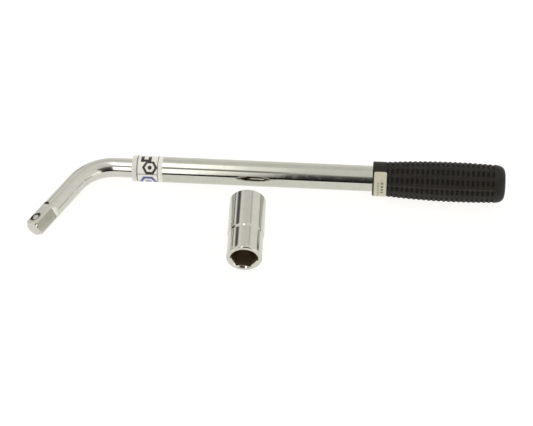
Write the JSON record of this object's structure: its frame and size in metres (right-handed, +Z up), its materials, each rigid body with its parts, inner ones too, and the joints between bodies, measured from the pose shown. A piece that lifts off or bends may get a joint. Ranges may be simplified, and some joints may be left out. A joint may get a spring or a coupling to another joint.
{
  "type": "telescopic lug wrench",
  "caption": "Telescopic wheel-nut wrench: a cranked square-drive bar slides and turns in a chromed tube with a ribbed grip; a loose double-ended hex socket lies beside it.",
  "frame": {"origin": "middle of the floor that the closed wrench and its socket cover, on the floor", "axes": "+X runs along the wrench from the drive end towards the grip, +Y away from the socket's side, +Z up"},
  "size_m": [0.3819, 0.111, 0.0333],
  "materials": {
    "chrome_tube": "bright nickel-chrome plate",
    "chrome_bar": "bright nickel-chrome plate over drawn bar",
    "chrome_socket": "bright nickel-chrome plate, darker inside",
    "nylon": "natural white nylon",
    "label": "printed film",
    "sticker": "printed paper",
    "grip_rubber": "matte moulded rubber",
    "bronze_sleeve": "sintered sleeve",
    "spring_steel": "oiled spring steel",
    "ball_steel": "polished ball"
  },
  "bodies": {
    "handle": {"handle_tube": "chrome_tube", "mouth_bush": "nylon", "wrap_label": "label", "grip": "grip_rubber", "grip_sticker": "sticker"},
    "carriage": {"guide_sleeve": "bronze_sleeve", "lock_ring": "spring_steel"},
    "bar": {"drive_bar": "chrome_bar", "bar_clip": "spring_steel", "detent_spring": "spring_steel"},
    "detent": {"detent_ball": "ball_steel"},
    "loose_socket": {"socket": "chrome_socket"}
  },
  "joints": [
    {"name": "extension", "type": "slide", "parent": "handle", "child": "carriage", "axis": [-0.9997, 0, -0.0224], "range_m": [0, 0.15], "deforming": ["lock_ring"]},
    {"name": "bar_swivel", "type": "hinge", "parent": "carriage", "child": "bar", "pos_m": [-0.11343, 0.03902, 0.0108], "axis": [-0.9997, 0, -0.0224], "continuous": true},
    {"name": "detent_press", "type": "slide", "parent": "bar", "child": "detent", "axis": [0.4244, -0.1885, -0.8856], "range_m": [0, 0.001], "stiffness_N_per_m": 3000, "springref_m": -0.001, "deforming": ["detent_spring"]},
    {"name": "socket_lift", "type": "slide", "parent": "handle", "child": "loose_socket", "axis": [0, 0, 1], "range_m": [0, 0.08]}
  ]
}
